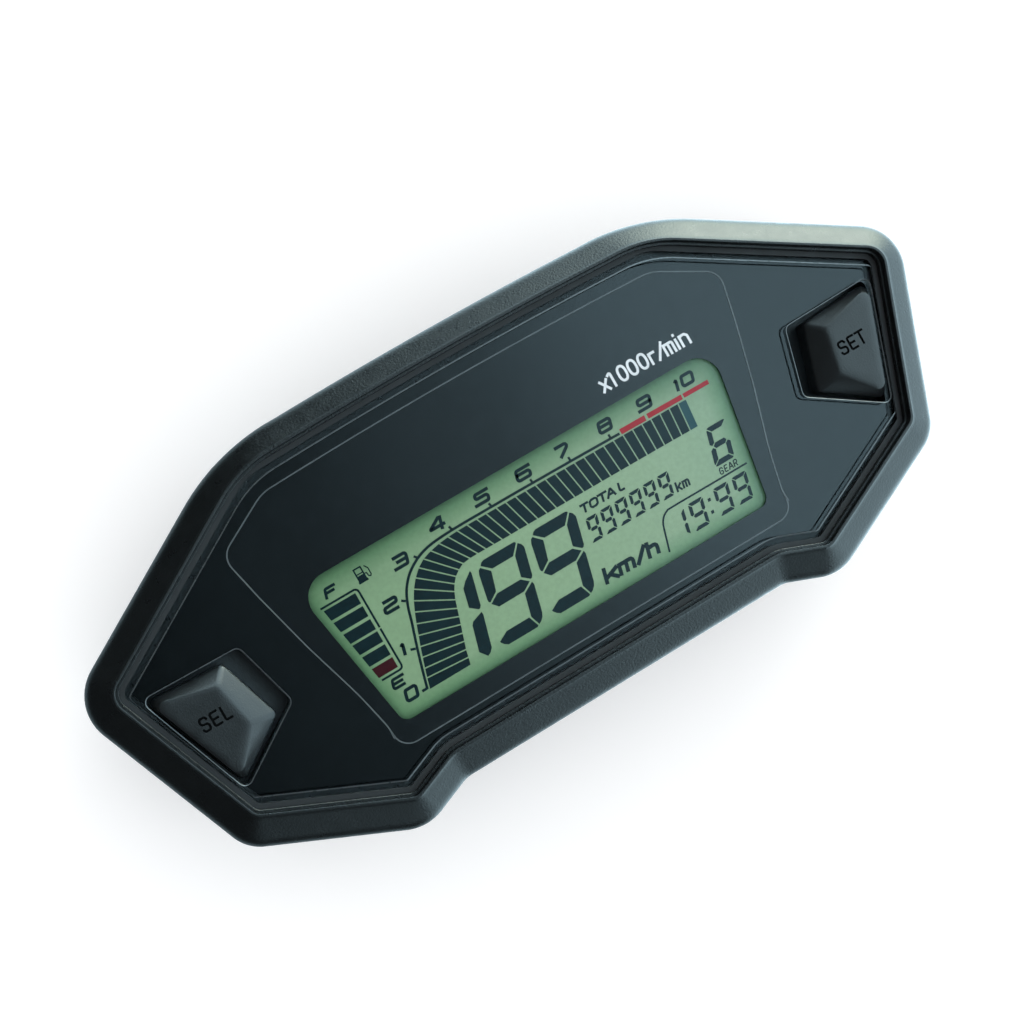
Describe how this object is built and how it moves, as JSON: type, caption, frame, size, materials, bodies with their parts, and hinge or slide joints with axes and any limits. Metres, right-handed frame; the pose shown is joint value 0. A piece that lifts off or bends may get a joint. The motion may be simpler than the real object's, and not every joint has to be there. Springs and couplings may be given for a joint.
{
  "type": "motorcycle instrument cluster",
  "caption": "Angular motorcycle instrument cluster: bevelled black bezel, smoked lens over a segment LCD, a push button in each side corner, rear mounting bosses and connector.",
  "frame": {"origin": "centre of the four rear mounting bosses, on their faces", "axes": "+Z out of the display towards the rider, +Y to the display's top edge, +X to the rider's right"},
  "size_m": [0.1644, 0.0732, 0.04],
  "materials": {
    "bezel_plastic": "fine moulded grain, satin black",
    "cover_plastic": "matte black",
    "lens": "gloss, lightly smoked acrylic",
    "seal_rubber": "matte",
    "mask_print": "screen-printed black",
    "polarizer_front": "matte film",
    "lcd_glass": "clear",
    "polarizer_rear": "green transflective film",
    "holder_plastic": "white",
    "white_film": "white film",
    "clear_plastic": "clear acrylic",
    "led_package": "white package",
    "board_laminate": "green solder mask",
    "chip_epoxy": "black epoxy",
    "can_metal": "satin",
    "chip_parts": "ceramic chip parts",
    "connector_plastic": "black nylon",
    "pin_metal": "plated",
    "button_rubber": "satin, soft",
    "spring_steel": "plain",
    "plunger_plastic": "black",
    "screw_steel": "zinc plated",
    "insert_brass": "turned",
    "vent_plastic": "grey-black"
  },
  "bodies": {
    "housing": {"front_bezel": "bezel_plastic", "rear_cover": "cover_plastic", "lens": "lens", "lens_gasket": "seal_rubber", "dial_mask": "mask_print", "lcd_front_polarizer": "polarizer_front", "lcd_front_glass": "lcd_glass", "lcd_rear_glass": "lcd_glass", "lcd_rear_polarizer": "polarizer_rear", "zebra_strip_upper": "seal_rubber", "zebra_strip_lower": "seal_rubber", "lcd_holder": "holder_plastic", "diffuser_film": "white_film", "light_guide": "clear_plastic", "reflector_film": "white_film", "backlight_leds": "led_package", "indicator_light_box": "holder_plastic", "indicator_leds": "led_package", "main_pcb": "board_laminate", "microcontroller": "chip_epoxy", "lcd_driver_chip": "chip_epoxy", "voltage_regulator": "chip_epoxy", "capacitors": "can_metal", "quartz_crystal": "can_metal", "smd_passives": "chip_parts", "connector_header": "connector_plastic", "connector_pins": "pin_metal", "connector_seal": "seal_rubber", "sel_button_seal": "seal_rubber", "set_button_seal": "seal_rubber", "sel_switch_body": "connector_plastic", "set_switch_body": "connector_plastic", "housing_seal": "seal_rubber", "cover_screws": "screw_steel", "pcb_screws": "screw_steel", "mount_inserts": "insert_brass", "vent_plug": "vent_plastic"},
    "sel_key": {"sel_button": "button_rubber", "sel_button_clip": "spring_steel"},
    "set_key": {"set_button": "button_rubber", "set_button_clip": "spring_steel"},
    "sel_plunger": {"sel_switch_plunger": "plunger_plastic"},
    "set_plunger": {"set_switch_plunger": "plunger_plastic"}
  },
  "joints": [
    {"name": "sel_button_press", "type": "slide", "parent": "housing", "child": "sel_key", "axis": [0, 0, -1], "range_m": [0, 0.0008], "stiffness_N_per_m": 400, "springref_m": -0.0008, "deforming": ["sel_button_seal"]},
    {"name": "set_button_press", "type": "slide", "parent": "housing", "child": "set_key", "axis": [0, 0, -1], "range_m": [0, 0.0008], "stiffness_N_per_m": 400, "springref_m": -0.0008, "deforming": ["set_button_seal"]},
    {"name": "sel_switch_press", "type": "slide", "parent": "housing", "child": "sel_plunger", "axis": [0, 0, -1], "range_m": [0, 0.0008]},
    {"name": "set_switch_press", "type": "slide", "parent": "housing", "child": "set_plunger", "axis": [0, 0, -1], "range_m": [0, 0.0008]}
  ],
  "couplings": [
    {"joint": "sel_switch_press", "follows": "sel_button_press", "ratio": 1},
    {"joint": "set_switch_press", "follows": "set_button_press", "ratio": 1}
  ]
}
